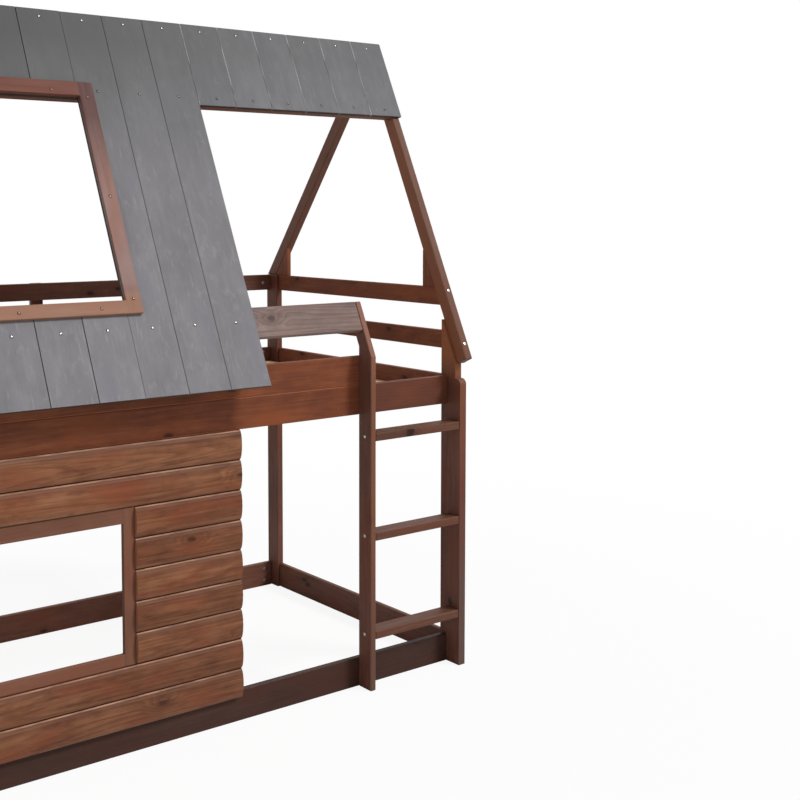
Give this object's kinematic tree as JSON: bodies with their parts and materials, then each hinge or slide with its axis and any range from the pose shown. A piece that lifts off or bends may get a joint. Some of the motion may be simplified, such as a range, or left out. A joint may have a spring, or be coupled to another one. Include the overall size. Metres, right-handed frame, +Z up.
{
  "type": "house bunk bed",
  "caption": "House-shaped wooden bunk bed: plank roof slope with a window, log wall with a window below, ladder, guard rails and a slatted upper deck over an open floor-level bunk.",
  "frame": {"origin": "on the floor, under the centre of the whole bed's bounding box", "axes": "+X along the bed towards the ladder end, +Y from the ladder and log-wall side to the rear, +Z up"},
  "size_m": [1.9714, 1.165, 2.0235],
  "materials": {
    "dark_stain": "satin dark brown stain over pine grain",
    "red_stain": "satin red-brown stain over pine grain",
    "log_stain": "semi-matte warm brown stain over strong pine grain with knots",
    "trim_stain": "semi-matte lighter pinkish brown stain",
    "greyed_stain": "semi-matte greyed brown stain",
    "grey_wash": "matte grey wash, streaked along the grain",
    "bare_pine": "unfinished planed pine"
  },
  "bodies": {
    "root": {"front_bottom_rail": "red_stain", "front_deck_rail": "red_stain", "front_guard_board": "red_stain", "front_left_post": "dark_stain", "front_right_post": "dark_stain", "ladder_rung_1": "red_stain", "ladder_rung_2": "red_stain", "ladder_rung_3": "red_stain", "ladder_stile": "dark_stain", "left_bottom_rail": "red_stain", "left_deck_rail": "red_stain", "left_front_gusset": "dark_stain", "left_front_rafter": "dark_stain", "left_lower_guard": "red_stain", "left_rear_gusset": "dark_stain", "left_rear_rafter": "dark_stain", "left_upper_guard": "red_stain", "logs_above_window": "log_stain", "logs_below_window": "log_stain", "logs_left_of_window": "log_stain", "logs_right_of_window": "log_stain", "low_purlin": "greyed_stain", "mid_purlin": "dark_stain", "rear_bottom_rail": "dark_stain", "rear_deck_rail": "dark_stain", "rear_left_post": "dark_stain", "rear_lower_guard": "dark_stain", "rear_mid_post": "dark_stain", "rear_right_post": "dark_stain", "rear_upper_guard": "dark_stain", "ridge_purlin": "dark_stain", "right_bottom_rail": "red_stain", "right_deck_rail": "red_stain", "right_front_gusset": "dark_stain", "right_front_rafter": "dark_stain", "right_lower_guard": "red_stain", "right_rear_gusset": "dark_stain", "right_rear_rafter": "dark_stain", "right_upper_guard": "red_stain", "roof_board_01": "grey_wash", "roof_board_02": "grey_wash", "roof_board_03": "grey_wash", "roof_board_04": "grey_wash", "roof_board_05": "grey_wash", "roof_board_06": "grey_wash", "roof_board_07": "grey_wash", "roof_board_08": "grey_wash", "roof_board_09": "grey_wash", "roof_board_13": "grey_wash", "roof_board_14": "grey_wash", "roof_board_15": "grey_wash", "roof_boards_above_window": "grey_wash", "roof_boards_below_window": "grey_wash", "roof_window_frame": "trim_stain", "slat_base": "bare_pine", "wall_batten_1": "dark_stain", "wall_batten_2": "dark_stain", "wall_batten_3": "dark_stain", "wall_batten_4": "dark_stain", "wall_window_frame": "log_stain"}
  },
  "joints": []
}
